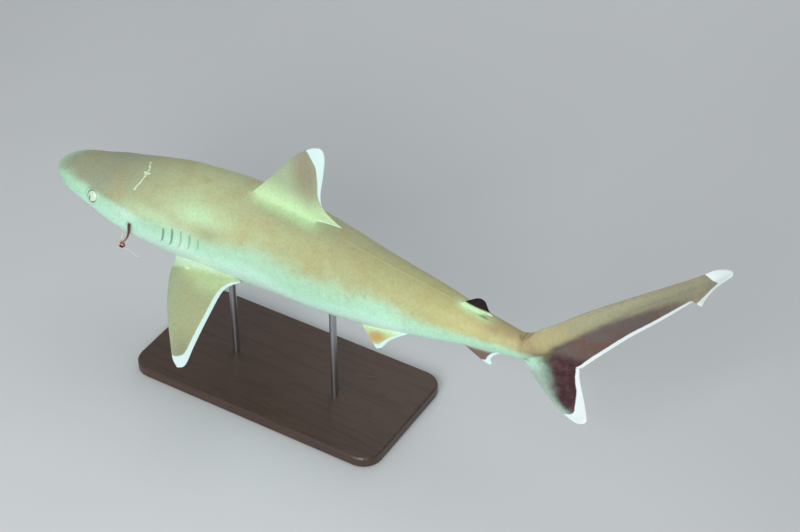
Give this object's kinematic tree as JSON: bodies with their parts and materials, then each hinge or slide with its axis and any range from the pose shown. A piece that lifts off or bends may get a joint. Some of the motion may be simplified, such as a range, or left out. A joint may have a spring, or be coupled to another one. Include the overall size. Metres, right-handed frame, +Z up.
{
  "type": "silvertip shark model on a display stand",
  "caption": "Life-size silvertip shark in a gentle swimming bend, a fishing hook in its jaw, on a flat base with two rods.",
  "frame": {"origin": "middle of the flat underside of the stand's base plate, on the floor", "axes": "+Z up, head towards -X, the animal's left flank towards -Y, so +X runs towards the tail"},
  "size_m": [1.7291, 0.6929, 0.7734],
  "materials": {
    "skin": "satin, finely rough shark skin, olive-bronze above and pale below",
    "eye": "wet gloss, pale grey-green iris with a slit pupil",
    "hook": "rusted steel wire",
    "stand_base": "satin dark stain",
    "stand_rod": "brushed along its length"
  },
  "bodies": {
    "root": {"head": "skin", "lower_jaw": "skin", "gill_region": "skin", "trunk_front": "skin", "trunk_rear": "skin", "tail_stock": "skin", "first_dorsal_fin": "skin", "second_dorsal_fin": "skin", "anal_fin": "skin", "pectoral_fin_left": "skin", "pectoral_fin_right": "skin", "pelvic_fin_left": "skin", "pelvic_fin_right": "skin", "caudal_fin_upper_lobe": "skin", "caudal_fin_lower_lobe": "skin", "eye_left": "eye", "eye_right": "eye", "hook": "hook", "stand_base": "stand_base", "stand_rod_front": "stand_rod", "stand_rod_rear": "stand_rod"}
  },
  "joints": []
}
